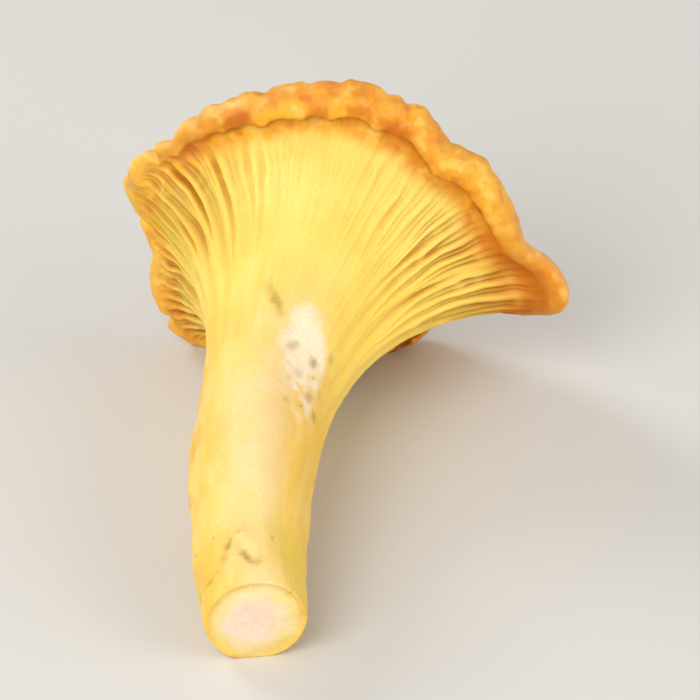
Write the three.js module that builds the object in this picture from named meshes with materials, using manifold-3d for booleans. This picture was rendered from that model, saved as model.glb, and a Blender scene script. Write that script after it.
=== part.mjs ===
// A chanterelle, picked and laid on its side: a solid stem that widens like a trumpet into a lobed,
// wavy cap with a rolled margin, and ridge-like false gills that fork outwards and run down the stem.
// It grew in one piece, so it is one closed body. Millimetres, +Z up, the table is z = 0.
//
// The body is worked out round its own axis first, and then laid down:
//   w      distance along the axis, from the cut end of the stem towards the cap
//   r      distance from the axis
//   angle  round the axis, 0 on the side that lies uppermost, a quarter turn on the right (+X)
import * as THREE from "three";
import { mergeVertices } from "three/addons/utils/BufferGeometryUtils.js";
import Module from "manifold-3d";

const { clamp, degToRad, lerp, smoothstep } = THREE.MathUtils;
const TURN = 2 * Math.PI;

// ---- outline of the body, as [r, w] from the middle of the cut end to the middle of the hollow ----
const STEM_OUTLINE = [
  [0.0, 0.0], //   0 middle of the cut end
  [4.5, 0.0], //   1 rim of the cut
  [5.5, 1.6], //   2
  [6.2, 12.0], //  3
  [7.0, 24.0], //  4 false gills begin
  [7.7, 34.0], //  5
  [9.5, 42.5], //  6
  [13.2, 49.6], // 7
  [17.6, 53.9], // 8
];
// The margin is rolled inwards on the upper side and on the right, and open on the left.
const ROLLED_OUTLINE = [
  [21.2, 55.6], // 9 false gills end
  [22.6, 54.2], // 10 lip of the roll
  [24.4, 54.9], // 11 furthest out
  [24.6, 57.6], // 12
  [22.4, 59.2], // 13 top of the roll
  [18.6, 58.4], // 14
];
const OPEN_OUTLINE = [
  [21.6, 56.4],
  [23.4, 57.3],
  [24.5, 58.1],
  [24.3, 59.0],
  [22.3, 58.9],
  [18.6, 57.3],
];
const HOLLOW_OUTLINE = [
  [14.0, 55.6], // 15
  [9.2, 51.8], //  16
  [4.4, 48.6], //  17
  [0.0, 47.6], //  18 bottom of the hollow
];
const CUT_RIM = 1;
const GILLS_START = 4;
const GILLS_END = 9;
const ROLL_TOP = 13;
const OUTLINE_END = 18;

// ---- cap margin, every 15 degrees round the axis from the uppermost side ----
const STEM_RADIUS = 7; // the lobes begin outside this radius
const MEAN_REACH = 24.5;
const REACH = [
  24.0, 25.2, 25.4, 25.2, 25.2, 26.8, 28.8, 21.6, 17.2, 17.0, 16.8, 14.8,
  13.4, 14.8, 17.6, 20.0, 20.0, 19.0, 19.6, 22.0, 22.7, 21.9, 22.8, 24.0,
];
const LIFT = [
  0.0, 1.2, 0.6, -0.4, -1.0, -1.9, -1.6, 4.2, 6.6, 6.0, 5.0, 3.8,
  2.4, 1.0, 0.2, -0.6, -0.6, 0.2, 1.0, 0.0, -1.6, -1.6, -1.4, 0.8,
];
const ROLLED = [
  1, 1, 1, 1, 0.9, 0.5, 0.3, 0.5, 0.8, 0.9, 0.8, 0.7,
  0.6, 0.5, 0.4, 0.3, 0.2, 0.1, 0.1, 0.1, 0.1, 0.4, 0.8, 1,
];
const FRILL = [
  { waves: 8, phase: 0.6, out: 0.3, lift: 0.4 },
  { waves: 13, phase: 2.1, out: 0.18, lift: 0.26 },
  { waves: 21, phase: 4.0, out: 0.13, lift: 0.16 },
  { waves: 34, phase: 1.0, out: 0.09, lift: 0.09 },
];
const HOLLOW_FOLDS = [
  { waves: 5, phase: 1.2, height: 1.2 },
  { waves: 9, phase: 0.4, height: 0.55 },
];
const FOLDS_FADE_IN = [13, 15]; // outline positions
const FOLDS_FADE_OUT = [15.5, 17.5];

// ---- false gills; a share is of the way from where they begin to where they end ----
const MAIN_RIDGES = 24; // each has a branch on both sides, which leaves it at a fork
const BRANCH_ANGLE = TURN / (3 * MAIN_RIDGES);
const CLOSED_BRANCH = 0.28; // part of the branch angle that is left below a fork
const LAST_FORK = 0.55; // share
const FORK_LENGTH = 0.45; // share
const RIDGE_SCATTER = 0.18; // part of the main ridges' spacing
const RIDGE_WANDER = 0.012; // radians
const RIDGE_SWAY = 0.05; // radians
const VALLEY_ON_STEM = 0.35; // depths
const VALLEY_ON_CAP = 1.3;
const VALLEY_BEGUN = 0.16; // share
const VALLEY_DEEPENS = [0.1, 0.8]; // shares
const VALLEY_RUN_OUT = 0.34; // share
const RUN_OUT_OPEN = 1.24; // share at which the valleys are gone, on the open margin
const RUN_OUT_ROLLED = 1.04; // and on the rolled one
const SHALLOWER_ON_TOP = 0.4; // part of the depth that is lost on the uppermost side
const SHALLOWER_SPREAD = 0.75; // radians

// ---- stem ----
const STEM_OVAL = 0.05;
const STEM_FURROWS = [
  { waves: 3, phase: 1.1, depth: 0.22 },
  { waves: 7, phase: 0.3, depth: 0.16 },
];
const FURROWS_BEGIN = [1, 15]; // along the axis, the cut end itself is round
const BEND_LENGTH = 38; // the axis is straight beyond this
const BEND_SIDE = 6.4;
const BEND_DOWN = -1;
const STEM_ARCH = 1.5;
const CUT_SLANT = 0.05;

// ---- how it lies ----
const LIE_YAW = degToRad(-12);
const LIE_TILT = degToRad(7.73);
const LIE_ROLL = degToRad(3.27);
const LIE_PLACE = new THREE.Vector3(-15.52, -30.12, 6.45);

// ---- mesh ----
const STEM_COLUMNS = 48;
const ROLL_COLUMNS = 108;
const CENTRE_COLUMNS = 36;

// A small repeatable random number from 0 to 1 for each pair of whole numbers.
function chance(index, kind) {
  const x = Math.sin(index * 127.1 + kind * 311.7 + 19.3) * 43758.5453;
  return x - Math.floor(x);
}

// A smooth closed curve through values spaced evenly round the axis.
function around(values, angle) {
  const n = values.length;
  const at = ((((angle / TURN) % 1) + 1) % 1) * n;
  const i = Math.floor(at);
  const t = at - i;
  const [p0, p1, p2, p3] = [-1, 0, 1, 2].map((k) => values[(i + k + n) % n]);
  const slope1 = (p2 - p0) / 2;
  const slope2 = (p3 - p1) / 2;
  return (
    (2 * p1 - 2 * p2 + slope1 + slope2) * t ** 3 +
    (3 * p2 - 3 * p1 - 2 * slope1 - slope2) * t ** 2 +
    slope1 * t +
    p1
  );
}

const outlineWith = (margin) =>
  new THREE.SplineCurve(
    [...STEM_OUTLINE, ...margin, ...HOLLOW_OUTLINE].map(([r, w]) => new THREE.Vector2(r, w)),
  );
const rolledOutline = outlineWith(ROLLED_OUTLINE);
const openOutline = outlineWith(OPEN_OUTLINE);

function outlineAt(k, rolled) {
  const at = clamp(k / OUTLINE_END, 0, 1);
  return openOutline.getPoint(at).lerp(rolledOutline.getPoint(at), rolled);
}

// The outline's outward normal, in the plane of r and w.
function outlineNormal(k, rolled) {
  const step = 0.02;
  const along = outlineAt(k + step, rolled).sub(outlineAt(k - step, rolled)).normalize();
  return new THREE.Vector2(along.y, -along.x);
}

const gillShare = (k) => Math.max(0, (k - GILLS_START) / (GILLS_END - GILLS_START));

// Angle of a ridge: main ridge p with side 0, or its branch with side -1 or 1.
function ridgeAngle(p, side, share) {
  const index = ((p % MAIN_RIDGES) + MAIN_RIDGES) % MAIN_RIDGES;
  const scatter = RIDGE_SCATTER * (chance(index, 1) - 0.5);
  const middle = (p + 0.5 + scatter) * (TURN / MAIN_RIDGES);
  const wander = RIDGE_WANDER * Math.sin(5 * share + TURN * chance(index, 2)) * share;
  const fork = LAST_FORK * chance(index, 4 + side);
  const open = lerp(CLOSED_BRANCH, 1, smoothstep(share, fork, fork + FORK_LENGTH));
  const sway = RIDGE_SWAY * Math.sin(2 * middle + 0.5) * share;
  return middle + sway + wander + side * BRANCH_ANGLE * open;
}

// Depth of the valley between two ridges that stand this angle apart. It runs out before a rolled
// margin, and just over the edge of an open one.
function valleyDepth(share, gap, angle) {
  const room = smoothstep(gap / BRANCH_ANGLE, CLOSED_BRANCH, 1);
  const fadeIn = smoothstep(share, 0, VALLEY_BEGUN);
  const runOut = lerp(RUN_OUT_OPEN, RUN_OUT_ROLLED, around(ROLLED, angle));
  const fadeOut = 1 - smoothstep(share, runOut - VALLEY_RUN_OUT, runOut);
  const fromTop = Math.atan2(Math.sin(angle), Math.cos(angle));
  const shallower = 1 - SHALLOWER_ON_TOP * Math.exp(-((fromTop / SHALLOWER_SPREAD) ** 2));
  const depth = lerp(VALLEY_ON_STEM, VALLEY_ON_CAP, smoothstep(share, ...VALLEY_DEEPENS));
  return depth * shallower * room * fadeIn * fadeOut;
}

// The gills' columns at one ring: ridge, valley, ridge, valley and so on, each [angle, depth].
function gillColumns(share) {
  const ridges = [];
  for (let p = 0; p < MAIN_RIDGES; p++)
    for (const side of [-1, 0, 1]) ridges.push(ridgeAngle(p, side, share));
  ridges.push(ridges[0] + TURN);
  const columns = [];
  for (let i = 0; i < ridges.length - 1; i++) {
    const gap = ridges[i + 1] - ridges[i];
    const middle = ridges[i] + gap / 2;
    columns.push([ridges[i], 0]);
    columns.push([middle, valleyDepth(share, gap, middle)]);
  }
  return columns;
}

const evenColumns = (count) =>
  Array.from({ length: count }, (_, i) => [((i + 0.5) * TURN) / count, 0]);

// A point of the skin: outline position k, angle round the axis, depth below the skin.
function skin(k, angle, depth) {
  const rolled = around(ROLLED, angle);
  const { x: radius, y: height } = outlineAt(k, rolled);
  const normal = outlineNormal(k, rolled);
  const onStem = 1 - smoothstep(k, GILLS_START, GILLS_START + 3);
  let r = radius - depth * normal.x;
  let w = height - depth * normal.y;

  const out = Math.max(0, r - STEM_RADIUS) / (MEAN_REACH - STEM_RADIUS);
  const comesAndGoes = (f) => 1 + 0.6 * Math.sin(2 * angle + 3 * f.phase);
  const frill = FRILL.map((f) => Math.sin(f.waves * angle + f.phase) * comesAndGoes(f));
  const reach =
    around(REACH, angle) + FRILL.reduce((sum, f, i) => sum + f.out * frill[i], 0);
  const lift =
    around(LIFT, angle) + FRILL.reduce((sum, f, i) => sum + f.lift * frill[i], 0);
  if (out > 0) r = STEM_RADIUS + out * (reach - STEM_RADIUS);
  w += lift * out ** 2.5;

  const folded = smoothstep(k, ...FOLDS_FADE_IN) * (1 - smoothstep(k, ...FOLDS_FADE_OUT));
  for (const f of HOLLOW_FOLDS) w += folded * f.height * Math.sin(f.waves * angle + f.phase);

  const furrow = STEM_FURROWS.reduce(
    (sum, f) => sum + f.depth * Math.sin(f.waves * angle + f.phase + 0.04 * w),
    0,
  );
  const away = Math.min(1, r / 4); // nothing moves at the axis itself
  const furrowed = furrow * smoothstep(w, ...FURROWS_BEGIN);
  r += away * onStem * (STEM_OVAL * r * Math.cos(2 * angle) + furrowed);

  const slant = 1 - smoothstep(w, 0, 8);
  w += CUT_SLANT * slant * r * Math.cos(angle);

  const toStraight = Math.max(0, 1 - w / BEND_LENGTH);
  const bent = toStraight ** 2;
  const slope = (-2 * toStraight) / BEND_LENGTH;
  const halfTurns = Math.PI * clamp(w / BEND_LENGTH, 0, 1);
  const arched = STEM_ARCH * Math.sin(halfTurns) ** 2;
  const archSlope = (STEM_ARCH * Math.PI * Math.sin(2 * halfTurns)) / BEND_LENGTH;
  const x = r * Math.sin(angle);
  const z = r * Math.cos(angle);
  return new THREE.Vector3(
    x + BEND_SIDE * bent,
    w - x * BEND_SIDE * slope - z * (BEND_DOWN * slope + archSlope),
    z + BEND_DOWN * bent + arched,
  );
}

// Every ring of the body in order, each {k, columns}.
function ringsOf() {
  const rings = [];
  const add = (k, columns) => rings.push({ k, columns });
  for (const k of [0.6, CUT_RIM, 1.25, 1.6, 2, 2.4, 2.8, 3.2, 3.6, GILLS_START])
    add(k, evenColumns(STEM_COLUMNS));
  for (let k = GILLS_START + 0.3; k < GILLS_END + 0.7; k += 0.33)
    add(k, gillColumns(gillShare(k)));
  for (const k of [10, 10.5, 11, 11.5, 12, 12.5, ROLL_TOP, 13.6])
    add(k, evenColumns(ROLL_COLUMNS));
  for (const k of [14.4, 15.2, 16, 16.8, 17.5]) add(k, evenColumns(CENTRE_COLUMNS));
  return rings;
}

// Joins two neighbouring rings, whatever their numbers of columns: from the pair of points that are
// joined, it always steps to the next point that comes first round the axis.
function stitch(index, lower, upper) {
  const countLower = lower.columns.length;
  const countUpper = upper.columns.length;
  const point = (ring, n) => ring.first + (n % ring.columns.length);
  const angle = (ring, n) => {
    const count = ring.columns.length;
    return ring.columns[n % count][0] + TURN * Math.floor(n / count);
  };
  let i = 0;
  let j = 0;
  while (i < countLower || j < countUpper) {
    const lowerFirst = angle(lower, i + 1) <= angle(upper, j + 1);
    const stepLower = j === countUpper || (i < countLower && lowerFirst);
    const corner = stepLower ? point(lower, i + 1) : point(upper, j + 1);
    index.push(point(lower, i), corner, point(upper, j));
    if (stepLower) i++;
    else j++;
  }
}

// Closes a ring with a fan of triangles round one point on the axis.
function closeRing(index, ring, tip, facesCap) {
  const count = ring.columns.length;
  for (let i = 0; i < count; i++) {
    const here = ring.first + i;
    const next = ring.first + ((i + 1) % count);
    if (facesCap) index.push(tip, here, next);
    else index.push(tip, next, here);
  }
}

function bodyGeometry() {
  const points = [];
  const index = [];
  const rings = ringsOf();
  for (const ring of rings) {
    ring.first = points.length;
    for (const [angle, depth] of ring.columns) points.push(skin(ring.k, angle, depth));
  }
  for (let n = 0; n + 1 < rings.length; n++) stitch(index, rings[n], rings[n + 1]);
  points.push(skin(0, 0, 0));
  closeRing(index, rings[0], points.length - 1, false);
  points.push(skin(OUTLINE_END, 0, 0));
  closeRing(index, rings.at(-1), points.length - 1, true);
  const geometry = new THREE.BufferGeometry().setFromPoints(points);
  geometry.setIndex(index);
  return geometry;
}

// The rest pose: rolled round its axis, tilted so that stem and margin both touch, turned, put in place.
function layDown(geometry) {
  const turn = new THREE.Euler(LIE_TILT, LIE_ROLL, LIE_YAW, "ZXY");
  const lie = new THREE.Matrix4().makeRotationFromEuler(turn).setPosition(LIE_PLACE);
  return geometry.applyMatrix4(lie);
}

const wasm = await Module();
wasm.setup();

function solidFrom(geometry) {
  const bare = new THREE.BufferGeometry();
  bare.setAttribute("position", geometry.getAttribute("position"));
  bare.setIndex(geometry.index);
  const merged = mergeVertices(bare, 1e-4);
  return new wasm.Manifold(
    new wasm.Mesh({
      numProp: 3,
      vertProperties: merged.attributes.position.array,
      triVerts: new Uint32Array(merged.index.array),
    }),
  );
}

function geometryFrom(solid) {
  const mesh = solid.getMesh();
  const geometry = new THREE.BufferGeometry();
  geometry.setAttribute("position", new THREE.BufferAttribute(mesh.vertProperties, 3));
  geometry.setIndex(new THREE.BufferAttribute(mesh.triVerts, 1));
  const faceted = geometry.toNonIndexed();
  faceted.computeVertexNormals();
  return faceted;
}

// Soft flesh flattens where it touches the table: three small flats at z = 0.
function flattened(geometry) {
  const slab = new THREE.BoxGeometry(200, 200, 20).translate(0, 0, -10);
  return geometryFrom(solidFrom(geometry).subtract(solidFrom(slab)));
}

const flesh = new THREE.MeshStandardMaterial({
  color: new THREE.Color(0.93, 0.66, 0.2),
  roughness: 0.6,
  metalness: 0,
});

const chanterelle = new THREE.Mesh(flattened(layDown(bodyGeometry())), flesh);
chanterelle.name = "chanterelle";

const part = new THREE.Group();
part.add(chanterelle);
export default part;
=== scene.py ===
from math import radians, tau

import bmesh
import bpy
import numpy as np
from mathutils import Euler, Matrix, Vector, noise


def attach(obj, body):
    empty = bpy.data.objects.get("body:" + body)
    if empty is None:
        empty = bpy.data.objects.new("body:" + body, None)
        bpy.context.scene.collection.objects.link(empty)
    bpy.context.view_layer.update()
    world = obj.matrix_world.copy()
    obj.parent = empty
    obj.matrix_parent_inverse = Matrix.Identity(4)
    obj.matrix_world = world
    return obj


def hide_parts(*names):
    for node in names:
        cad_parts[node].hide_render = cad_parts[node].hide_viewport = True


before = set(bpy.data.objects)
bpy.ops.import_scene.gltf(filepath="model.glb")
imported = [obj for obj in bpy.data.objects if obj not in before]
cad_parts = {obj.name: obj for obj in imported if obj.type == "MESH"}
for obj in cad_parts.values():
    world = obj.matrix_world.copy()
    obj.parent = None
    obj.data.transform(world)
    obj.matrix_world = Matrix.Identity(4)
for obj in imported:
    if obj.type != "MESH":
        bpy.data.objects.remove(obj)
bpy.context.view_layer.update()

# ---------------------------------------------------------------------------------------------
# The mushroom's skin. A chanterelle grows as one soft, solid body: a stem that widens like a
# trumpet into a wavy cap. Its profile is spun round the axis of the stem, which is the Y axis
# here until the mushroom is laid down.
MM = 0.001

# The profile's points, as (distance from the axis, distance along it) in millimetres. They are
# numbered as rows, from the middle of the cut end to the bottom of the hollow.
STEM_OUTLINE = [
    (0.0, 0.0),  #   row 0, middle of the cut end
    (4.5, 0.0),  #   row 1, rim of the cut
    (5.5, 1.6),
    (6.2, 12.0),
    (7.0, 24.0),  #  row 4, false gills begin
    (7.7, 34.0),
    (9.5, 42.5),
    (13.2, 49.6),
    (17.6, 53.9),
]
ROLLED_OUTLINE = [
    (21.2, 55.6),  # row 9, false gills end
    (22.6, 54.2),  # row 10, lip of the roll
    (24.4, 54.9),
    (24.6, 57.6),
    (22.4, 59.2),  # row 13, top of the roll
    (18.6, 58.4),
]
OPEN_OUTLINE = [
    (21.6, 56.4),
    (23.4, 57.3),
    (24.5, 58.1),
    (24.3, 59.0),
    (22.3, 58.9),
    (18.6, 57.3),
]
HOLLOW_OUTLINE = [(14.0, 55.6), (9.2, 51.8), (4.4, 48.6), (0.0, 47.6)]  # up to row 18
CUT_RIM, GILLS_START, GILLS_END, ROLL_TOP, LAST_ROW = 1, 4, 9, 13, 18

ROW_STEPS = [  # from row, to row, number of steps
    (0, CUT_RIM, 8),
    (CUT_RIM, 2, 7),
    (2, GILLS_START, 30),
    (GILLS_START, GILLS_END, 62),
    (GILLS_END, ROLL_TOP, 22),
    (ROLL_TOP, LAST_ROW, 40),
]
MAIN_RIDGES = 24  # false gills with a branch on both sides
RIDGES = 3 * MAIN_RIDGES
RIDGE_COLUMNS = 8  # columns of points from one ridge to the next
COLUMNS = RIDGES * RIDGE_COLUMNS
POLE_DISTANCE = 1e-7


def spline(points, at):
    """A smooth curve through the points, read at places counted in points."""
    points = np.asarray(points, float)
    i = np.clip(np.floor(at).astype(int), 0, len(points) - 1)
    t = (at - i)[:, None]
    p0, p1, p2, p3 = (points[np.clip(i + n, 0, len(points) - 1)] for n in (-1, 0, 1, 2))
    slope1, slope2 = (p2 - p0) / 2, (p3 - p1) / 2
    return (
        (2 * p1 - 2 * p2 + slope1 + slope2) * t**3
        + (3 * p2 - 3 * p1 - 2 * slope1 - slope2) * t**2
        + slope1 * t
        + p1
    )


def outline(row, rolled):
    """Points of the profile. The margin is open where rolled is 0 and rolled in where it is 1."""
    row = np.clip(row, 0, LAST_ROW)
    closed = spline(STEM_OUTLINE + ROLLED_OUTLINE + HOLLOW_OUTLINE, row)
    opened = spline(STEM_OUTLINE + OPEN_OUTLINE + HOLLOW_OUTLINE, row)
    return opened + (closed - opened) * rolled[:, None]


stretches = [np.linspace(first, last, steps, endpoint=False) for first, last, steps in ROW_STEPS]
profile_rows = np.concatenate(stretches + [[LAST_ROW]])
profile = outline(profile_rows, np.ones(len(profile_rows)))

bm = bmesh.new()
row_layer = bm.verts.layers.float.new("row")
for (from_stem_axis, along_stem_axis), profile_row in zip(profile, profile_rows):
    vertex = bm.verts.new((0, along_stem_axis * MM, max(0.0, from_stem_axis) * MM))
    vertex[row_layer] = profile_row
bm.verts.ensure_lookup_table()
edges = [bm.edges.new(bm.verts[i : i + 2]) for i in range(len(profile_rows) - 1)]
bmesh.ops.spin(
    bm, geom=bm.verts[:] + edges, axis=(0, 1, 0), cent=(0, 0, 0), angle=tau, steps=RIDGES, use_merge=True
)
poles = [v for v in bm.verts if v[row_layer] in (0, LAST_ROW)]
bmesh.ops.remove_doubles(bm, verts=poles, dist=POLE_DISTANCE)
rings = [e for e in bm.edges if e.verts[0][row_layer] == e.verts[1][row_layer]]
bmesh.ops.subdivide_edges(bm, edges=rings, cuts=RIDGE_COLUMNS - 1, use_grid_fill=True)
bmesh.ops.triangulate(bm, faces=[f for f in bm.faces if len(f.verts) > 4])
bmesh.ops.recalc_face_normals(bm, faces=bm.faces)
mesh = bpy.data.meshes.new("mushroom")
bm.to_mesh(mesh)
bm.free()

count = len(mesh.vertices)
spun = np.empty(count * 3)
mesh.vertices.foreach_get("co", spun)
spun = spun.reshape(-1, 3)
spun_row = np.empty(count)
mesh.attributes["row"].data.foreach_get("value", spun_row)

# Rows and columns are rounded to the ones that were asked for, so each run gives the same points.
# Columns count angles round the axis, from 0 on the side that lies uppermost over the right side.
nearest = np.rint(np.interp(spun_row, profile_rows, np.arange(len(profile_rows)))).astype(int)
row = profile_rows[nearest]
spun_angle = np.arctan2(spun[:, 0], spun[:, 2]) % tau
column = np.rint(spun_angle / tau * COLUMNS).astype(int) % COLUMNS


# ---------------------------------------------------------------------------------------------
# The false gills. They aren't blades like a button mushroom's but low blunt folds of the flesh
# itself: they fork towards the margin, are tied together by cross veins, and run down the stem.

# Places along the gills are shares of the way from their start on the stem to the margin.
BRANCH_ANGLE = tau / RIDGES
CLOSED_BRANCH = 0.28  # share of the branch angle that is left below a fork
LAST_FORK = 0.55  # the last branches begin to part here
FORK_LENGTH = 0.45
RIDGES_SPREAD = 1.25  # beyond this the ridges keep their places round the axis
UNEVEN_SPACING = 0.18  # share of the angle between two main ridges
WANDER, WANDER_WAVES = 0.012, 5  # each ridge's own bends, in radians
SWAY, SWAY_SIDES, SWAY_PHASE = 0.05, 2, 0.5  # bends that neighbours share, in radians
WAVER, WAVER_ROUND, WAVER_ALONG = 0.022, 7, 1.7  # bends at the ridges' ends, in radians
WAVER_WHOLE = 2 / 3  # they are at their full size from this share on

VALLEY_ON_STEM = 0.35
VALLEY_ON_CAP = 1.3
DEEPER_FROM, DEEPER_TO = 0.1, 0.8
VALLEY_EDGE, VALLEY_BOTTOM = 0.12, 0.8  # shares of the way from a crest to the middle of a valley
SHALLOWER_ON_TOP = 0.4  # share of the depth that is lost on the uppermost side
SHALLOWER_SPREAD = 0.75
UPPERMOST, SIDES_BEGIN, SIDES_END = 0.14, 0.22, 1.15  # an angle, and angles to either side of it
GILLS_FADE_IN = 0.16
GILLS_FADE_OUT = 0.34
GILLS_RUN_OUT, RUN_OUT_IF_ROLLED = 1.24, 0.2  # a rolled margin ends them sooner by this much
SOFT_UNTIL, CRISP_FROM = 0.36, 0.84  # low, soft ridges near the stem, crisp ones near the margin
SOFT_DEPTH, CRISP_DEPTH = 0.34, 1.1
TOP_DEPTH, SIDE_DEPTH = 0.6, 1.05
YOUNG_DROP, UNEVEN_DROP = 0.3, 0.14  # shares of the valleys' depth
YOUNG_LENGTH = 0.6
UNEVEN_WAVES, UNEVEN_APART = 7, 3.7  # along a ridge, and from one ridge to the next

SHORT_RIDGES = 0.75  # share of the valleys that hold a short ridge near the margin
SHORT_FIRST, SHORT_SPREAD, SHORT_RISE, SHORT_WIDTH = 0.35, 0.35, 0.15, 0.16
SHORT_HEIGHT, SHORT_HEIGHT_SPREAD = 0.65, 0.3
VEINS = 4  # across each valley
VEINS_FIRST, VEINS_SPREAD, VEIN_WIDTH = 0.3, 0.7, 0.02
VEIN_HEIGHT, VEIN_LEAN = 0.5, 0.06

ROLLED = [  # how far the margin is rolled in, at even steps round the axis
    1.0, 1.0, 1.0, 1.0, 0.9, 0.5, 0.3, 0.5, 0.8, 0.9, 0.8, 0.7,
    0.6, 0.5, 0.4, 0.3, 0.2, 0.1, 0.1, 0.1, 0.1, 0.4, 0.8, 1.0,
]


def smoothstep(x, low, high):
    """0 up to low, 1 from high on, and eased in between."""
    t = np.clip((x - low) / (high - low), 0, 1)
    return t * t * (3 - 2 * t)


def hump(x, middle, width):
    """1 in the middle, a third at the width on either side of it, and 0 well beyond that."""
    return np.exp(-(((x - middle) / width) ** 2))


def chance(index, draw):
    """A repeatable random number from 0 to 1 for each pair of whole numbers."""
    x = np.sin(index * 127.1 + draw * 311.7 + 19.3) * 43758.5453
    return x - np.floor(x)


def noise_at(places, seed=0):
    """Smooth noise from about -1 to 1 at each of the places."""
    return np.array([noise.noise(place) for place in (places + 7.31 * seed).tolist()])


def around(values, angle):
    """A smooth closed curve through values spaced evenly round the axis."""
    n = len(values)
    at = (angle / tau % 1) * n
    padded = [values[-1], *values, *values[:3]]
    return spline(np.array(padded, float)[:, None], at + 1)[:, 0]


def fork_share(ridge):
    """Where a branch begins to part from its main ridge."""
    index = ridge % RIDGES
    return LAST_FORK * chance(index // 3, 3 + index % 3)


def ridge_angle(ridge, share):
    """Angle of a ridge: each third one is a main ridge, and the two beside it are its branches."""
    turns = ridge // RIDGES
    index = ridge % RIDGES
    main, side = index // 3, index % 3 - 1
    middle = (main + 0.5 + UNEVEN_SPACING * (chance(main, 1) - 0.5)) * (tau / MAIN_RIDGES)
    wander = WANDER * np.sin(WANDER_WAVES * share + tau * chance(main, 2)) * share
    fork = fork_share(ridge)
    opened = CLOSED_BRANCH + (1 - CLOSED_BRANCH) * smoothstep(share, fork, fork + FORK_LENGTH)
    sway = SWAY * np.sin(SWAY_SIDES * middle + SWAY_PHASE) * share
    return turns * tau + middle + sway + wander + side * BRANCH_ANGLE * opened


def crest_drop(ridge, share):
    """How far a ridge's crest lies below the highest ones, as a share of the valleys' depth."""
    index = ridge % RIDGES
    branch = index % 3 != 1
    fork = fork_share(ridge)
    young = branch * (1 - smoothstep(share, fork, fork + YOUNG_LENGTH))
    uneven = noise_at(np.stack([UNEVEN_APART * index, UNEVEN_WAVES * share, 0 * index], axis=1))
    return YOUNG_DROP * young + UNEVEN_DROP * (1 + uneven)


# The columns of points follow the ridges from the stem to the margin.
ridge = column // RIDGE_COLUMNS
across = column % RIDGE_COLUMNS / RIDGE_COLUMNS  # 0 on a crest, 0.5 in the middle of a valley
share = np.maximum(0, (row - GILLS_START) / (GILLS_END - GILLS_START))
spread = np.minimum(share, RIDGES_SPREAD)
crest = ridge_angle(ridge, spread)
gap = ridge_angle(ridge + 1, spread) - crest
straight = crest + across * gap
rolled = around(ROLLED, straight)
from_top = (straight + np.pi) % tau - np.pi
round_waver = np.stack(
    [WAVER_ROUND * np.sin(straight), WAVER_ALONG * row, WAVER_ROUND * np.cos(straight)], axis=1
)
angle = straight + WAVER * np.minimum(1, share / WAVER_WHOLE) * noise_at(round_waver, 10)

# The valleys are sunk into the skin, and the crests of young branches lie low between the others.
run_out = GILLS_RUN_OUT - RUN_OUT_IF_ROLLED * rolled
gilled = smoothstep(share, 0, GILLS_FADE_IN) * (1 - smoothstep(share, run_out - GILLS_FADE_OUT, run_out))
room = smoothstep(gap / BRANCH_ANGLE, CLOSED_BRANCH, 1)
into_valley = 2 * np.minimum(across, 1 - across)  # 0 on a crest, 1 in the middle of a valley
valley = gilled * room * smoothstep(into_valley, VALLEY_EDGE, VALLEY_BOTTOM)
dropped = crest_drop(ridge, share) * (1 - across) + crest_drop(ridge + 1, share) * across
sideways = smoothstep(np.abs(from_top - UPPERMOST), SIDES_BEGIN, SIDES_END)
crisp = smoothstep(share, SOFT_UNTIL, CRISP_FROM)

depth = VALLEY_ON_STEM + (VALLEY_ON_CAP - VALLEY_ON_STEM) * smoothstep(share, DEEPER_FROM, DEEPER_TO)
depth *= 1 - SHALLOWER_ON_TOP * hump(from_top, 0, SHALLOWER_SPREAD)
depth *= np.maximum(valley, gilled * dropped)
depth *= SOFT_DEPTH + (CRISP_DEPTH - SOFT_DEPTH) * crisp
depth *= TOP_DEPTH + (SIDE_DEPTH - TOP_DEPTH) * sideways

# Short ridges near the margin and cross veins fill part of the valleys.
short_start = SHORT_FIRST + SHORT_SPREAD * chance(ridge, 50)
short = (chance(ridge, 51) > 1 - SHORT_RIDGES) * smoothstep(share, short_start, short_start + SHORT_RISE)
short_height = SHORT_HEIGHT + SHORT_HEIGHT_SPREAD * chance(ridge, 52)
depth *= 1 - short_height * short * hump(across, 0.5, SHORT_WIDTH)
for vein in range(VEINS):
    vein_share = VEINS_FIRST + VEINS_SPREAD * chance(ridge, 20 + vein)
    vein_height = VEIN_HEIGHT * chance(ridge, 30 + vein)
    lean = VEIN_LEAN * (chance(ridge, 40 + vein) - 0.5)
    depth *= 1 - vein_height * hump(share, vein_share + lean * across, VEIN_WIDTH)


# ---------------------------------------------------------------------------------------------
# The margin, the stem and the way the mushroom lies. The margin waves in and out and up and
# down, the stem is a little oval, furrowed and bent, and the soft flesh is pressed flat where
# the stem's end and two lobes of the margin touch the table.
STEM_RADIUS = 7
MEAN_REACH = 24.5
REACH = [  # of the margin from the axis, at even steps round it
    24.0, 25.2, 25.4, 25.2, 25.2, 26.8, 28.8, 21.6, 17.2, 17.0, 16.8, 14.8,
    13.4, 14.8, 17.6, 20.0, 20.0, 19.0, 19.6, 22.0, 22.7, 21.9, 22.8, 24.0,
]
LIFT = [  # of the margin along the axis
    0.0, 1.2, 0.6, -0.4, -1.0, -1.9, -1.6, 4.2, 6.6, 6.0, 5.0, 3.8,
    2.4, 1.0, 0.2, -0.6, -0.6, 0.2, 1.0, 0.0, -1.6, -1.6, -1.4, 0.8,
]
LIFT_CURVE = 2.5
FRILL_CHANGE = 0.6  # how much each row of waves comes and goes round the margin
FRILL = [  # waves round the margin, phase, height outwards, height along the axis
    (8, 0.6, 0.3, 0.4),
    (13, 2.1, 0.18, 0.26),
    (21, 4.0, 0.13, 0.16),
    (34, 1.0, 0.09, 0.09),
    (55, 0.5, 0.05, 0.04),
    (89, 2.7, 0.03, 0.03),
]
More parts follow.
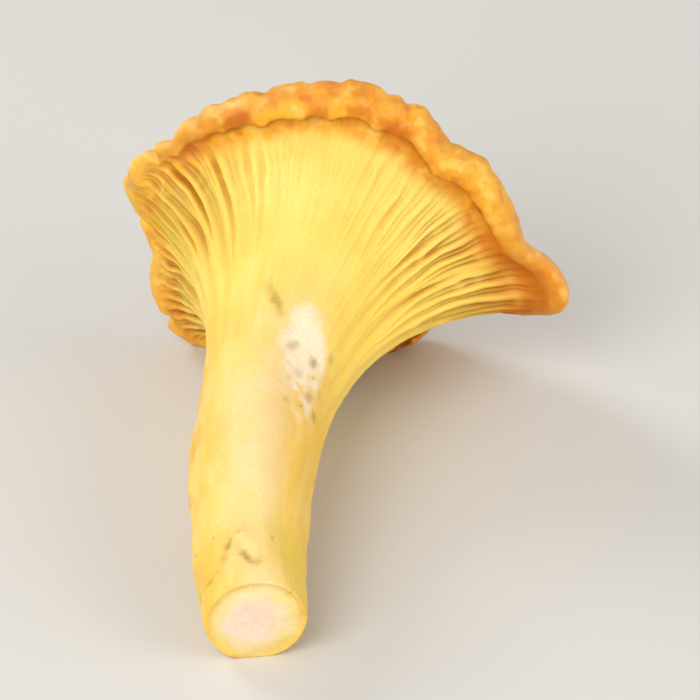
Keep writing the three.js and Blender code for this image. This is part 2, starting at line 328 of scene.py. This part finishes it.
SPLITS_BEGIN = 0.85  # share of the way from the stem to the margin
SPLITS = [  # of the margin, as angle, depth, half width in radians
    (-0.95, 1.2, 0.02),
    (0.4, 0.5, 0.02),
    (2.55, 1.4, 0.025),
    (4.1, 1.6, 0.03),
    (4.75, 0.8, 0.02),
]
HOLLOW_FOLDS = [(5, 1.2, 1.2), (9, 0.4, 0.55)]  # waves, phase, height
HOLLOW_FOLDS_RISE = (ROLL_TOP, ROLL_TOP + 2)
HOLLOW_FOLDS_FALL = (15.5, 17.5)

STEM_OVAL = 0.05
STEM_FURROWS = [(3, 1.1, 0.22), (7, 0.3, 0.16)]  # waves, phase, depth
FURROWS_TWIST = 0.04  # radians for each millimetre
FURROWS_RISE = (1, 15)
FURROWS_CORE = 4  # they fade out towards the axis inside this radius
BEND_LENGTH = 38
BEND_SIDE = 6.4
BEND_DOWN = -1
STEM_ARCH = 1.5
CUT_SLANT, CUT_SLANT_LENGTH = 0.05, 8

LIE_TURN = Euler((radians(7.73), radians(3.27), radians(-12)), "YXZ")
LIE_PLACE = Vector((-15.52, -30.12, 6.45))


def apart(angle, middle):
    """Angle round the axis from the middle, from minus half a turn to half a turn."""
    return (angle - middle + np.pi) % tau - np.pi


def profile_normal(row, rolled):
    """Directions square to the profile, towards the outside."""
    step = 0.02
    along = outline(row + step, rolled) - outline(row - step, rolled)
    along /= np.maximum(1e-9, np.linalg.norm(along, axis=1))[:, None]
    return np.stack([along[:, 1], -along[:, 0]], axis=1)


def skin(row, angle, depth, rolled):
    """Points of the skin in millimetres, round the mushroom's own axis."""
    place = outline(row, rolled) - depth[:, None] * profile_normal(row, rolled)
    r, w = place[:, 0], place[:, 1]

    # The margin and the folds inside the hollow.
    out = np.maximum(0, r - STEM_RADIUS) / (MEAN_REACH - STEM_RADIUS)
    reach, lift = around(REACH, angle), around(LIFT, angle)
    for waves, phase, frill_out, frill_lift in FRILL:
        wave = np.sin(waves * angle + phase) * (1 + FRILL_CHANGE * np.sin(2 * angle + 3 * phase))
        reach += frill_out * wave
        lift += frill_lift * wave
    for middle, deep, width in SPLITS:
        reach -= deep * hump(apart(angle, middle), 0, width) * smoothstep(out, SPLITS_BEGIN, 1)
    r = np.where(out > 0, STEM_RADIUS + out * (reach - STEM_RADIUS), r)
    w = w + lift * out**LIFT_CURVE
    in_hollow = smoothstep(row, *HOLLOW_FOLDS_RISE) * (1 - smoothstep(row, *HOLLOW_FOLDS_FALL))
    w = w + in_hollow * sum(height * np.sin(waves * angle + phase) for waves, phase, height in HOLLOW_FOLDS)

    # The oval, furrowed stem and its slanted cut.
    stem_share = 1 - smoothstep(row, GILLS_START, GILLS_START + 3)
    twist = FURROWS_TWIST * w
    furrow = sum(deep * np.sin(waves * angle + phase + twist) for waves, phase, deep in STEM_FURROWS)
    furrow = furrow * smoothstep(w, *FURROWS_RISE)
    r = r + np.minimum(1, r / FURROWS_CORE) * stem_share * (STEM_OVAL * r * np.cos(2 * angle) + furrow)
    w = w + CUT_SLANT * (1 - smoothstep(w, 0, CUT_SLANT_LENGTH)) * r * np.cos(angle)

    # The bend to the side and the arch, with each ring tilted to stay square to them.
    to_straight = np.maximum(0, 1 - w / BEND_LENGTH)
    bent = to_straight**2
    slope = -2 * to_straight / BEND_LENGTH
    half_turns = np.pi * np.clip(w / BEND_LENGTH, 0, 1)
    arched = STEM_ARCH * np.sin(half_turns) ** 2
    arch_slope = STEM_ARCH * np.pi * np.sin(2 * half_turns) / BEND_LENGTH
    x, z = r * np.sin(angle), r * np.cos(angle)
    y = w - x * BEND_SIDE * slope - z * (BEND_DOWN * slope + arch_slope)
    return np.stack([x + BEND_SIDE * bent, y, z + BEND_DOWN * bent + arched], axis=1)


upright = skin(row, angle, depth, rolled)
points = upright @ np.array(LIE_TURN.to_matrix()).T + np.array(LIE_PLACE)
mesh.vertices.foreach_set("co", (points * MM).ravel())
mesh.update()

normals = np.empty(count * 3)
mesh.vertices.foreach_get("normal", normals)
normals = normals.reshape(-1, 3)


# ---------------------------------------------------------------------------------------------
# The skin's own relief. The stem is lightly fibrous, creased above the cut and spotted where it
# was handled, and has a near-white patch halfway up. The margin's lip is ragged and wrinkled, the
# cap's top has a fine felt, and the knife left the cut end grainy.
SWELL_SIZE, LUMP_SIZE, DENT_SIZE, GRAIN_SIZE = 6, 2.6, 1.1, 0.55
BASE_ALONG, BASE_LENGTH = 6, 4
HOLLOW_DEEPER, HOLLOW_RADIUS = 0.9, 4.5
RIM_WORN, RIM_WORN_UNEVENLY, RIM_WIDTH = 0.32, 0.15, 0.42  # the width is in rows

PATCH_ALONG, PATCH_HALF_LENGTH = 32.0, 7.8
PATCH_ANGLE, PATCH_HALF_WIDTH = 0.62, 0.42
PATCH_SLANT = -0.028  # radians for each millimetre
SPOTS = [  # along the stem, angle, size, darkness
    (34.4, 0.33, 1.0, 0.6), (33.9, 0.73, 0.9, 0.9), (31.2, 0.55, 0.9, 0.5), (28.8, 0.84, 1.0, 0.75),
    (27.2, 1.06, 0.95, 0.85), (25.8, 0.45, 0.8, 0.5), (36.4, 0.98, 0.8, 0.5), (29.6, 0.40, 0.7, 0.4),
    (31.0, 1.05, 0.8, 0.5), (41.7, -0.19, 0.8, 0.5), (41.1, -0.15, 0.8, 0.65), (40.5, -0.11, 0.85, 0.7),
    (39.9, -0.07, 0.85, 0.75), (39.3, -0.02, 0.85, 0.75), (38.7, 0.02, 0.8, 0.65), (38.1, 0.06, 0.8, 0.5),
    (4.5, -0.40, 0.6, 1.0), (7.4, -0.50, 0.55, 0.4), (2.8, -0.50, 0.55, 0.55), (3.3, -0.46, 0.5, 0.5),
    (1.7, -0.68, 0.55, 0.6), (1.0, -0.90, 0.5, 0.6), (1.2, 0.75, 0.6, 0.45), (0.8, 1.1, 0.5, 0.5),
]
SPOT_DEPTH = 0.1
CREASE_LOWEST, CREASE_RISE, CREASE_WIDTH, CREASE_DEPTH = 2.9, 11.0, 0.62, 0.3
SWELL_ABOVE_CREASE, SWELL_WIDTH, SWELL_HEIGHT = 1.7, 1.0, 0.26
FOLD_HIGHEST, FOLD_FALL, FOLD_ANGLE, FOLD_WIDTH, FOLD_DEPTH = 6.6, 10.0, 0.05, 0.4, 0.22


def round_axis(spread, stretch, seed):
    """Noise in streaks that run along the skin, about as many in a radian as spread says."""
    return noise_at(np.stack([spread * np.sin(angle), stretch * row, spread * np.cos(angle)], axis=1), seed)


def flank(low_rise, high_rise, low_fall, high_fall):
    """1 on a stretch of the stem's uppermost side, given as angles from the left to the right."""
    risen, fallen = smoothstep(from_top, low_rise, high_rise), smoothstep(from_top, low_fall, high_fall)
    return risen * (1 - fallen) * on_stem


# Where a point is on the skin.
along = upright[:, 1]
from_axis = np.hypot(upright[:, 0], upright[:, 2])
on_cut = 1 - smoothstep(row, CUT_RIM - 0.15, CUT_RIM + 0.1)
on_stem = smoothstep(row, CUT_RIM, CUT_RIM + 0.6)
on_stem *= 1 - smoothstep(row, GILLS_START - 0.5, GILLS_START + 2.5)
near_base = on_stem * hump(along, BASE_ALONG, BASE_LENGTH)
on_gills = smoothstep(row, GILLS_START, GILLS_START + 1)
on_gills *= 1 - smoothstep(row, GILLS_END, GILLS_END + 0.6)
on_margin = smoothstep(row, GILLS_END - 0.3, GILLS_END + 0.4)
on_margin *= 1 - smoothstep(row, ROLL_TOP, ROLL_TOP + 1.5)
on_lip = hump(row, GILLS_END + 0.9, 0.6) * rolled
on_top = smoothstep(row, ROLL_TOP - 1, ROLL_TOP + 0.5)
off_centre = smoothstep(from_axis, 2, 11)  # the folds of the cap fade out at the bottom of its hollow

# Kinds of roughness, from long streaks along the skin to grains half a millimetre across.
fibres = round_axis(13, 0.8, 1) + 0.5 * round_axis(30, 1.5, 2)
folds = round_axis(6, 0.5, 3)
wrinkles = round_axis(14, 0.5, 4) + 0.6 * round_axis(32, 0.7, 9)
swells = noise_at(points / SWELL_SIZE, 5)
lumps = noise_at(points / LUMP_SIZE, 6)
dents = noise_at(points / DENT_SIZE, 7)
grainy = noise_at(points / GRAIN_SIZE, 8)

# A near-white patch halfway up the stem, weaker in places at its lower end.
across_patch = apart(angle, PATCH_ANGLE) - PATCH_SLANT * (along - PATCH_ALONG)
from_patch = np.hypot((along - PATCH_ALONG) / PATCH_HALF_LENGTH, across_patch / PATCH_HALF_WIDTH)
from_patch += 0.22 * lumps + 0.08 * dents
down_patch = PATCH_ALONG - along
patchy = smoothstep(dents + 0.4 * lumps, -0.35, 0.4) * smoothstep(down_patch, -3, 1)
whitened = 1 - smoothstep(from_patch, 0.55, 1.35)
whitened *= (1 - 0.75 * patchy) * (1 - 0.3 * smoothstep(down_patch, -2, 4))

# The crease and the fold above the cut, with painted shade in them, and the soiled spots.
crease = CREASE_LOWEST + CREASE_RISE * from_top**2 + 0.6 * lumps + 0.3 * dents
in_crease = flank(-0.36, -0.12, 0.02, 0.3) * hump(along, crease, CREASE_WIDTH)
above_crease = flank(-0.36, -0.12, 0.1, 0.5) * hump(along, crease + SWELL_ABOVE_CREASE, SWELL_WIDTH)
fold = FOLD_HIGHEST - FOLD_FALL * (from_top - FOLD_ANGLE) ** 2 + 0.3 * lumps + 0.2 * dents
in_fold = flank(-0.48, -0.38, -0.2, 0.35) * hump(along, fold, FOLD_WIDTH)
spots_and_crease = in_crease * (0.8 + 0.5 * dents + 0.4 * lumps)
spots_and_crease = np.maximum(spots_and_crease, in_fold * (0.5 + 0.3 * dents + 0.2 * lumps))
for spot_along, spot_angle, size, dark in SPOTS:
    far = np.hypot(along - spot_along, from_axis * apart(angle, spot_angle))
    far += size * (0.45 * dents + 0.3 * grainy)
    spots_and_crease = np.maximum(spots_and_crease, dark * (1 - smoothstep(far, 0, 1.4 * size)))

kinds = [swells, folds, wrinkles, lumps, dents, fibres, grainy]
places = [  # where on the skin, and how high each of these kinds stands there
    (on_stem, (0.30, 0, 0, 0.07, 0.03, 0.025, 0)),
    (near_base, (0, 0, 0, 0.10, 0.08, 0, 0.03)),
    (on_gills, (0, 0, 0, 0.08, 0.05, 0, 0)),
    (on_margin, (0.22, 0.12, 0.05, 0.13, 0.08, 0, 0)),
    (on_lip, (0, 0.30, 0.22, 0, 0, 0, 0)),
    (on_top * off_centre, (0.55, 0.30, 0.14, 0, 0, 0, 0)),
    (on_top, (0, 0, 0, 0.20, 0.11, 0, 0.025)),
    (on_cut, (0, 0, 0, 0.10, 0.07, 0, 0.04)),
]
relief = np.zeros(count)
for where, heights in places:
    relief += where * sum(height * kind for height, kind in zip(heights, kinds) if height)
relief += SWELL_HEIGHT * above_crease - CREASE_DEPTH * in_crease
relief -= FOLD_DEPTH * in_fold + SPOT_DEPTH * spots_and_crease
relief -= HOLLOW_DEEPER * on_top * hump(from_axis, 0, HOLLOW_RADIUS)
relief -= (RIM_WORN + RIM_WORN_UNEVENLY * lumps) * hump(row, CUT_RIM, RIM_WIDTH)
points += relief[:, None] * normals
points[:, 2] = np.maximum(points[:, 2], 0)
mesh.vertices.foreach_set("co", (points * MM).ravel())
mesh.update()

mesh.shade_smooth()
mushroom = bpy.data.objects.new("mushroom", mesh)
bpy.context.collection.objects.link(mushroom)


# ---------------------------------------------------------------------------------------------
# The flesh's colours. The stem is pale yellow to cream, the gills egg yellow, the margin deep
# orange with browned marks, the cap golden, and the cut end a pinkish white. The flesh is a
# little bruised and soiled by handling, and has a near-white patch on the stem. Painted shade
# turns the gills' valleys gold and darkens the ends of the valleys at the margin, the line under
# the rolled lip, the dents of the margin and the cap, the cap's hollow, the inside of the
# right-hand lobe, the crease and fold above the cut, and with the bruises the stem's flanks and
# underside. Painted highlights lie along the stem's upper side and the margin's outer edge.
LOBE_ANGLE, LOBE_SPREAD = 1.45, 0.42  # the deep orange lobe on the right, with painted shade inside it
PALE_AND_HIGHLIGHT_SPREAD = 0.5
HANDLED_ANGLE, HANDLED_SPREAD = 0.75, 0.5
BRUISE_SIZE = 4.5
SOIL_ALONG, SOIL_LENGTH, SOIL_ANGLE, SOIL_SPREAD = 30, 6, 0.6, 0.4
EDGE_ROW = 11.6  # the outermost line of the margin, where a painted highlight runs
NOTCH_SHARE, NOTCH_UNEVEN, NOTCH_WIDTH = 0.9, 0.14, 0.11  # where painted shade darkens the valleys at the margin
BROWNED = [  # row, angle, half its width in rows, half its width in radians, darkness
    (10.3, -0.37, 0.5, 0.08, 0.7),
    (9.2, -0.77, 0.5, 0.12, 1.0),
    (9.6, -0.58, 0.35, 0.10, 0.8),
    (10.1, -0.95, 0.4, 0.07, 0.6),
    (10.1, 0.02, 0.3, 0.06, 0.6),
    (10.2, 0.40, 0.4, 0.08, 0.7),
    (10.9, -0.48, 0.3, 0.05, 0.4),
    (11.2, 0.20, 0.4, 0.05, 0.4),
    (9.2, 1.3, 0.5, 0.08, 0.8),
]


def paint(name, values):
    """A mask from 0 to 1 that the flesh's material reads."""
    attribute = mesh.attributes.new(name, "FLOAT", "POINT")
    attribute.data.foreach_set("value", np.clip(values, 0, 1).astype(np.float32))


# The gills: painted shade turns their valleys gold, more so at the sides and away from the stem.
valley_shade = 1.45 * np.clip(depth / VALLEY_ON_CAP, 0, 1) ** 1.35
paint("valley", valley_shade * (0.12 + 0.88 * sideways) * (0.3 + 0.7 * smoothstep(share, 0.3, 0.7)))
paint("sideways", sideways)

# The stem: pale along its upper side, partly its own paler flesh and partly a painted highlight,
# with bruises that are also painted shade on its flanks and underside, a near-white patch, spots
# with painted shade in the crease, and soil.
paint("stem", (1 - smoothstep(row + 0.5 * lumps, GILLS_START + 0.2, GILLS_START + 2.4)) * (1 - on_cut))
pale_and_highlight_angle = 0.1 + 0.12 * swells + 0.16 * smoothstep(along, 20, 32)
pale = hump(apart(angle, pale_and_highlight_angle), 0, PALE_AND_HIGHLIGHT_SPREAD) * (1 - on_cut) * (0.9 + 0.3 * lumps)
paint("pale", pale * (1 - smoothstep(row, GILLS_START, GILLS_START + 3)))
paint("handled", near_base * (0.45 + 0.55 * hump(apart(angle, HANDLED_ANGLE), 0, HANDLED_SPREAD)))
paint("whitened", whitened)
paint("spots_and_crease", spots_and_crease)
# Orange bruises, stronger on the stem's flanks and underside, where they are also painted shade.
bruised_and_shaded = smoothstep(noise_at(points / BRUISE_SIZE, 11) + 0.35 * dents, 0.12, 0.5) * (1 - on_cut)
paint("bruised_and_shaded", bruised_and_shaded * (0.2 + 0.8 * smoothstep(-np.cos(angle), -0.7, 0.1)))
soil = hump(along, SOIL_ALONG, SOIL_LENGTH) * hump(apart(angle, SOIL_ANGLE), 0, SOIL_SPREAD)
paint("soil", 0.8 * soil + 0.5 * near_base)

# The margin: it begins just before the gills end, and is deepest in colour on the right-hand lobe,
# whose inside also gets painted shade.
right_lobe = np.exp(-((apart(angle, LOBE_ANGLE) / LOBE_SPREAD) ** 4))
right_lobe *= smoothstep(row + 0.1 * lumps, GILLS_END - 1.1, GILLS_END)
gills_end = smoothstep(row + 0.12 * lumps, GILLS_END - 0.75, GILLS_END - 0.25) * (0.6 + 0.4 * rolled)
paint("margin", np.maximum(gills_end, right_lobe))
# Painted shade inside the right-hand lobe.
paint("deep", right_lobe * hump(row - 0.5 * lumps, GILLS_END + 0.3, 1.2))
# A painted shadow along the line under the rolled lip.
under_lip_shadow = hump(row - 0.25 * wrinkles - 0.2 * dents, GILLS_END + 0.45, 0.34)
paint("under_lip_shadow", under_lip_shadow * rolled * (0.8 + 0.6 * lumps + 0.4 * dents))
# A painted highlight along the margin's outer edge, more where it is open.
paint("edge_highlight", hump(row - 0.2 * wrinkles, EDGE_ROW, 0.5) * (1 - 0.75 * rolled))
browned = np.zeros(count)
for mark_row, mark_angle, half_rows, half_angle, dark in BROWNED:
    far = np.hypot((row - mark_row) / half_rows, apart(angle, mark_angle) / half_angle)
    far += 0.5 * dents + 0.4 * lumps
    browned = np.maximum(browned, dark * (1 - smoothstep(far, 0.2, 1.5)))
paint("browned", browned)
# Painted shade at the ends of the gills' valleys by the margin.
notch = NOTCH_SHARE + NOTCH_UNEVEN * (chance(ridge, 53) - 0.5)
notch_shade = smoothstep(depth, 0.2, 0.7) * hump(share, notch, NOTCH_WIDTH) * (0.45 + 0.55 * chance(ridge, 54))
paint("notch_shade", notch_shade * sideways * (1 - 0.7 * right_lobe))

# The cap's top with painted shade in its hollow and its dents, and the cut end with its pinkish heart.
paint("top", on_top)
paint("hollow_shade", on_top * (1 - smoothstep(from_axis + 3 * lumps, 1, 15)))
# Painted shade where the relief is sunk, for the margin and the cap.
paint("dent_shade", 0.5 - relief / 0.5)
paint("cut", 1 - smoothstep(row + 0.12 * lumps + 0.1 * dents, CUT_RIM - 0.45, CUT_RIM + 0.5))
heart_row = row + 0.2 * lumps + 0.1 * dents + 0.12 * np.sin(angle)
paint("heart", 1 - smoothstep(heart_row, 0.35 * CUT_RIM, 0.95 * CUT_RIM))


def colour(red, green, blue):
    """A colour given in 0 to 255 screen values, as Blender's linear one."""
    linear = [v / 255 / 12.92 if v <= 10 else ((v / 255 + 0.055) / 1.055) ** 2.4 for v in (red, green, blue)]
    return (*linear, 1)


GILL_YELLOW = colour(248, 212, 98)
GILL_PALE = colour(254, 231, 126)
GILL_SIDE = colour(254, 216, 78)
VALLEY_SHADE_GOLD = colour(192, 128, 4)
STEM_YELLOW = colour(246, 200, 72)
STEM_PALE = colour(250, 216, 106)
STEM_BUFF = colour(232, 190, 92)
STEM_CREAM_AND_HIGHLIGHT = colour(252, 224, 170)
FIBRIL_PALE = colour(253, 238, 190)
FIBRIL_DARK = colour(226, 170, 52)
BRUISE_AND_SHADE_ORANGE = colour(222, 142, 40)
HANDLED_GREEN = colour(230, 200, 84)
PATCH_WHITE = colour(254, 240, 214)
SPOT_AND_SHADE_OLIVE = colour(154, 132, 34)
SOIL_BROWN = colour(126, 100, 36)
MARGIN_ORANGE = colour(232, 150, 24)
MARGIN_YELLOW = colour(248, 186, 52)
MARGIN_FLECK = colour(255, 208, 96)
MARGIN_RED = colour(216, 108, 26)
MARGIN_DENT_SHADE = colour(206, 112, 10)
LIP_SHADOW_BROWN = colour(156, 74, 6)
MARK_BROWN = colour(192, 88, 18)
NOTCH_SHADE_BROWN = colour(182, 104, 2)
LOBE_SHADE_ORANGE = colour(204, 112, 8)
EDGE_HIGHLIGHT = colour(253, 206, 130)
CAP_ORANGE = colour(236, 166, 50)
CAP_YELLOW = colour(246, 190, 72)
CAP_BLOTCH = colour(250, 208, 104)
CAP_DENT_SHADE = colour(222, 142, 30)
FELT_PALE = colour(252, 204, 96)
FELT_DARK = colour(214, 132, 26)
HOLLOW_SHADE_BROWN = colour(206, 122, 22)
CUT_CREAM = colour(252, 226, 150)
CUT_PALE = colour(254, 238, 186)
HEART_PINK = colour(250, 216, 192)
HEART_PALE = colour(253, 230, 210)
PORE_BROWN = colour(214, 146, 46)

flesh = bpy.data.materials.new("chanterelle flesh")
flesh.use_nodes = True
nodes, links = flesh.node_tree.nodes, flesh.node_tree.links
shader = nodes["Principled BSDF"]
coordinates = nodes.new("ShaderNodeTexCoord")


def attribute(name):
    node = nodes.new("ShaderNodeAttribute")
    node.attribute_name = name
    return node.outputs["Fac"]


def grain(scale, detail=3, roughness=0.55, stretch=(1, 1, 1)):
    """Noise on the object's own coordinates."""
    mapping = nodes.new("ShaderNodeMapping")
    mapping.inputs["Scale"].default_value = stretch
    links.new(coordinates.outputs["Object"], mapping.inputs["Vector"])
    node = nodes.new("ShaderNodeTexNoise")
    node.inputs["Scale"].default_value = scale
    node.inputs["Detail"].default_value = detail
    node.inputs["Roughness"].default_value = roughness
    links.new(mapping.outputs["Vector"], node.inputs["Vector"])
    return node.outputs["Fac"]


def ramp(value, low, high, to_low=0.0, to_high=1.0):
    """The value's place between low and high, eased, as a number between the last two."""
    node = nodes.new("ShaderNodeMapRange")
    node.interpolation_type = "SMOOTHSTEP"
    links.new(value, node.inputs["Value"])
    for name, number in (("From Min", low), ("From Max", high), ("To Min", to_low), ("To Max", to_high)):
        node.inputs[name].default_value = number
    return node.outputs["Result"]


def arithmetic(operation, first, second):
    node = nodes.new("ShaderNodeMath")
    node.operation = operation
    for socket, value in zip(node.inputs, (first, second)):
        if isinstance(value, (int, float)):
            socket.default_value = value
        else:
            links.new(value, socket)
    return node.outputs[0]


def mix(factor, under, over):
    """One colour laid over another."""
    node = nodes.new("ShaderNodeMix")
    node.data_type = "RGBA"
    links.new(factor, node.inputs["Factor"])
    for socket, value in ((node.inputs[6], under), (node.inputs[7], over)):
        if isinstance(value, tuple):
            socket.default_value = value
        else:
            links.new(value, socket)
    return node.outputs[2]


def coat(under, mask, strength, over):
    """One colour laid over another where a painted mask says, and at most this strongly."""
    return mix(arithmetic("MULTIPLY", attribute(mask), strength), under, over)


blotches = grain(70, 3)
mottling = grain(190, 4)
flecks = grain(420, 2)
felt = grain(900, 3)
fibrils = grain(240, 4, 0.6, (3.0, 0.3, 3.0))
pores = grain(3200, 2, 0.5)

gill = mix(ramp(blotches, 0.35, 0.65), GILL_YELLOW, GILL_PALE)
gill = coat(gill, "sideways", 0.5, GILL_SIDE)
# Painted shade: gold in the gills' valleys.
gill = mix(attribute("valley"), gill, VALLEY_SHADE_GOLD)

stem = mix(ramp(blotches, 0.38, 0.62), STEM_YELLOW, STEM_PALE)
stem = mix(ramp(fibrils, 0.48, 0.7, 0, 0.22), stem, FIBRIL_PALE)
stem = mix(ramp(fibrils, 0.46, 0.3, 0, 0.2), stem, FIBRIL_DARK)
# Orange bruises, with painted shade on the stem's flanks and underside.
stem = coat(stem, "bruised_and_shaded", 0.42, BRUISE_AND_SHADE_ORANGE)
stem = mix(ramp(mottling, 0.5, 0.72, 0, 0.2), stem, STEM_BUFF)

margin = mix(ramp(mottling, 0.3, 0.7), MARGIN_ORANGE, MARGIN_YELLOW)
margin = mix(ramp(flecks, 0.52, 0.66, 0, 0.65), margin, MARGIN_FLECK)
margin = mix(ramp(flecks, 0.46, 0.32, 0, 0.6), margin, MARGIN_RED)
# Painted shade in the margin's dents.
margin = mix(ramp(attribute("dent_shade"), 0.45, 1.0, 0, 0.7), margin, MARGIN_DENT_SHADE)

cap = mix(ramp(mottling, 0.3, 0.7), CAP_ORANGE, CAP_YELLOW)
# Painted shade in the cap's dents.
cap = mix(ramp(attribute("dent_shade"), 0.4, 1.0, 0, 0.6), cap, CAP_DENT_SHADE)
cap = mix(ramp(blotches, 0.42, 0.68, 0, 0.5), cap, CAP_BLOTCH)
cap = mix(ramp(felt, 0.5, 0.7, 0, 0.3), cap, FELT_PALE)
cap = mix(ramp(felt, 0.5, 0.3, 0, 0.3), cap, FELT_DARK)
# Painted shade in the cap's hollow.
cap = coat(cap, "hollow_shade", 0.75, HOLLOW_SHADE_BROWN)

cut_face = mix(ramp(flecks, 0.3, 0.7), CUT_CREAM, CUT_PALE)
heart = mix(ramp(mottling, 0.3, 0.7), HEART_PINK, HEART_PALE)
cut_face = mix(attribute("heart"), cut_face, heart)

skin_colour = mix(attribute("stem"), gill, stem)
# A cream strip along the stem's upper side: partly its own paler flesh, partly a painted highlight.
skin_colour = coat(skin_colour, "pale", 0.9, STEM_CREAM_AND_HIGHLIGHT)
skin_colour = coat(skin_colour, "handled", 0.8, HANDLED_GREEN)
skin_colour = mix(ramp(attribute("whitened"), 0.05, 0.9, 0, 0.92), skin_colour, PATCH_WHITE)
# Olive soil spots, and painted shade in the crease and the fold above the cut.
skin_colour = mix(ramp(attribute("spots_and_crease"), 0, 1, 0, 0.75), skin_colour, SPOT_AND_SHADE_OLIVE)
skin_colour = mix(attribute("margin"), skin_colour, margin)
skin_colour = mix(attribute("top"), skin_colour, cap)
# Painted shadow under the rolled lip.
skin_colour = coat(skin_colour, "under_lip_shadow", 0.85, LIP_SHADOW_BROWN)
skin_colour = coat(skin_colour, "browned", 0.85, MARK_BROWN)
# Painted shade at the ends of the gills' valleys.
skin_colour = coat(skin_colour, "notch_shade", 0.9, NOTCH_SHADE_BROWN)
# Painted shade inside the right-hand lobe.
skin_colour = coat(skin_colour, "deep", 0.9, LOBE_SHADE_ORANGE)
# Painted highlight along the margin's outer edge.
skin_colour = coat(skin_colour, "edge_highlight", 0.5, EDGE_HIGHLIGHT)
skin_colour = mix(attribute("cut"), skin_colour, cut_face)

# Small specks of soil: the cells of a pattern whose coordinates are stirred a little by noise.
stirring = nodes.new("ShaderNodeTexNoise")
stirring.inputs["Scale"].default_value = 1500
links.new(coordinates.outputs["Object"], stirring.inputs["Vector"])
stirred = nodes.new("ShaderNodeMix")
stirred.data_type = "VECTOR"
stirred.inputs["Factor"].default_value = 0.001
links.new(coordinates.outputs["Object"], stirred.inputs[4])
links.new(stirring.outputs["Color"], stirred.inputs[5])
cells = nodes.new("ShaderNodeTexVoronoi")
cells.inputs["Scale"].default_value = 700
links.new(stirred.outputs[1], cells.inputs["Vector"])
speck = ramp(cells.outputs["Distance"], 0.13, 0.24, 1, 0)
speck = arithmetic("MULTIPLY", speck, ramp(cells.outputs["Color"], 0.55, 0.6))
speck = arithmetic("MULTIPLY", speck, ramp(attribute("soil"), 0.3, 0.6))
skin_colour = mix(arithmetic("MULTIPLY", speck, 0.45), skin_colour, SOIL_BROWN)

skin_colour = mix(ramp(pores, 0.35, 0.7, 0, 0.12), skin_colour, PORE_BROWN)
links.new(skin_colour, shader.inputs["Base Color"])
links.new(ramp(mottling, 0.3, 0.75, 0.4, 0.56), shader.inputs["Roughness"])
shader.inputs["Subsurface Weight"].default_value = 0.3
shader.inputs["Subsurface Radius"].default_value = (1.0, 0.5, 0.15)
shader.inputs["Subsurface Scale"].default_value = 0.9 * MM
shader.inputs["Specular IOR Level"].default_value = 0.32

roughened = nodes.new("ShaderNodeBump")
roughened.inputs["Strength"].default_value = 0.22
roughened.inputs["Distance"].default_value = 0.12 * MM
fine_height = arithmetic("ADD", arithmetic("MULTIPLY", felt, 0.5), arithmetic("MULTIPLY", pores, 0.35))
height = arithmetic("ADD", arithmetic("MULTIPLY", fibrils, 0.4), fine_height)
links.new(height, roughened.inputs["Height"])
links.new(roughened.outputs["Normal"], shader.inputs["Normal"])

mesh.materials.append(flesh)
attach(mushroom, "root")
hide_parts("chanterelle")


# ---------------------------------------------------------------------------------------------
# The studio: a plain pale floor, a large soft key light high on the left, a fill on the right, a
# small rim light behind, and a long lens that looks along the stem from above its cut end.
FLOOR_SIZE = 4
FLOOR_GREY = colour(214, 212, 208)
SKY_STRENGTH = 0.42
LIGHTS = [  # name, place, size, power, tint
    ("key", (-0.32, -0.5, 0.5), 0.5, 3.85, (1, 0.98, 0.95)),
    ("fill", (0.6, -0.3, 0.35), 0.6, 2.6, (1, 0.96, 0.9)),
    ("rim", (-0.5, 0.42, 0.42), 0.3, 2.0, (1, 1, 1)),
]
CAMERA_ELEVATION = radians(33)
CAMERA_DISTANCE = 0.8
CAMERA_TARGET = Vector((0.0005, 0.001, 0.0181))
FRAME_WIDTH = 0.075
SENSOR_WIDTH = 36

bpy.ops.mesh.primitive_plane_add(size=FLOOR_SIZE)
floor = bpy.context.object
floor.name = "floor"
paper = bpy.data.materials.new("pale paper")
paper.use_nodes = True
paper.node_tree.nodes["Principled BSDF"].inputs["Base Color"].default_value = FLOOR_GREY
paper.node_tree.nodes["Principled BSDF"].inputs["Roughness"].default_value = 0.85
floor.data.materials.append(paper)

for name, place, size, power, tint in LIGHTS:
    light = bpy.data.objects.new(name, bpy.data.lights.new(name, "AREA"))
    light.data.size = size
    light.data.energy = power
    light.data.color = tint
    light.location = place
    light.rotation_euler = (-Vector(place)).to_track_quat("-Z", "Y").to_euler()
    bpy.context.collection.objects.link(light)

world = bpy.data.worlds.new("studio")
bpy.context.scene.world = world
world.use_nodes = True
world.node_tree.nodes["Background"].inputs["Color"].default_value = (1, 1, 1, 1)
world.node_tree.nodes["Background"].inputs["Strength"].default_value = SKY_STRENGTH

camera = bpy.data.objects.new("camera", bpy.data.cameras.new("camera"))
look = Vector((0, np.cos(CAMERA_ELEVATION), -np.sin(CAMERA_ELEVATION)))
camera.location = CAMERA_TARGET - look * CAMERA_DISTANCE
camera.rotation_euler = look.to_track_quat("-Z", "Y").to_euler()
camera.data.sensor_width = SENSOR_WIDTH
camera.data.lens = SENSOR_WIDTH * CAMERA_DISTANCE / FRAME_WIDTH
camera.data.clip_start = 0.01
bpy.context.collection.objects.link(camera)
bpy.context.scene.camera = camera
bpy.context.scene.view_settings.view_transform = "Standard"
